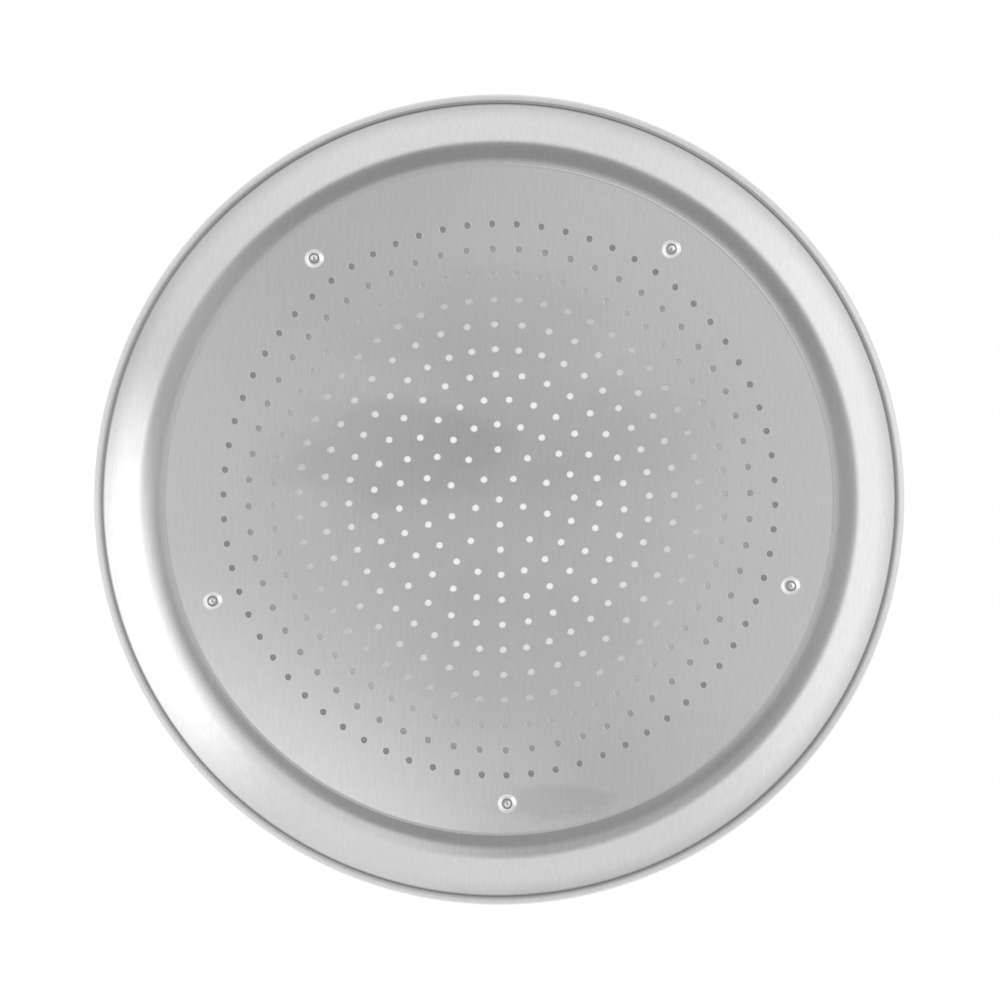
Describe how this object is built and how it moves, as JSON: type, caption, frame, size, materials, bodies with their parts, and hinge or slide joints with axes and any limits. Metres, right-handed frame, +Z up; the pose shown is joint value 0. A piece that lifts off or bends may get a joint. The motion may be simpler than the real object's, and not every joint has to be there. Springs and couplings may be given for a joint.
{
  "type": "pizza pan",
  "caption": "Round perforated aluminium pizza pan with a flat base, sloping wall, wired rolled rim and short riveted feet that let hot air pass under it.",
  "frame": {"origin": "centre of the pan on the plane of the feet's soles", "axes": "+Z up along the pan's axis; -Y towards the first foot, which is the picture's lower edge, and +X towards its right"},
  "size_m": [0.4064, 0.4064, 0.0221],
  "materials": {
    "pan_sheet": "bare rolled sheet with a fine straight grain and light scratches from use",
    "rim_wire": "galvanised drawn wire, sealed inside the rolled rim",
    "foot": "turned, with fine tool rings and a rubbed sole",
    "rivet": "bright pressed head, satin shank"
  },
  "bodies": {
    "root": {"pan_body": "pan_sheet", "rim_wire": "rim_wire", "foot_1": "foot", "foot_2": "foot", "foot_3": "foot", "foot_4": "foot", "foot_5": "foot", "rivet_1": "rivet", "rivet_2": "rivet", "rivet_3": "rivet", "rivet_4": "rivet", "rivet_5": "rivet"}
  },
  "joints": []
}
